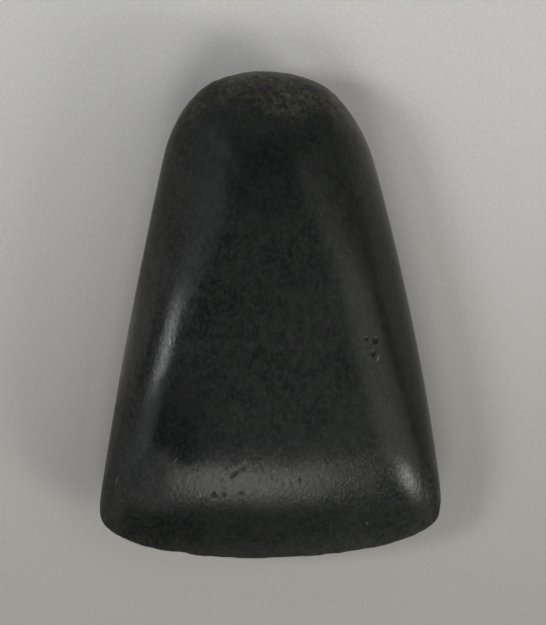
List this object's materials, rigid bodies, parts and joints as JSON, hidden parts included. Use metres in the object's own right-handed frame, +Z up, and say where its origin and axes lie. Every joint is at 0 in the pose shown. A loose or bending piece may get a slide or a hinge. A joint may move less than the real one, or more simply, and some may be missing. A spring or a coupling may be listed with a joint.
{
  "type": "stone chisel",
  "caption": "Ground and polished stone chisel head: a tapering body with slanting side facets, a rounded butt and a broad, bowed, bevelled cutting edge.",
  "frame": {"origin": "on the ground, under the middle of the stone's bounding box", "axes": "+Y from the cutting edge to the butt, +Z up out of the front face, +X to the right of the front face"},
  "size_m": [0.042, 0.06, 0.0155],
  "materials": {
    "polished_stone": "hand-ground and polished to a dull sheen, rougher and olive brown at the butt"
  },
  "bodies": {
    "root": {"chisel_head": "polished_stone"}
  },
  "joints": []
}
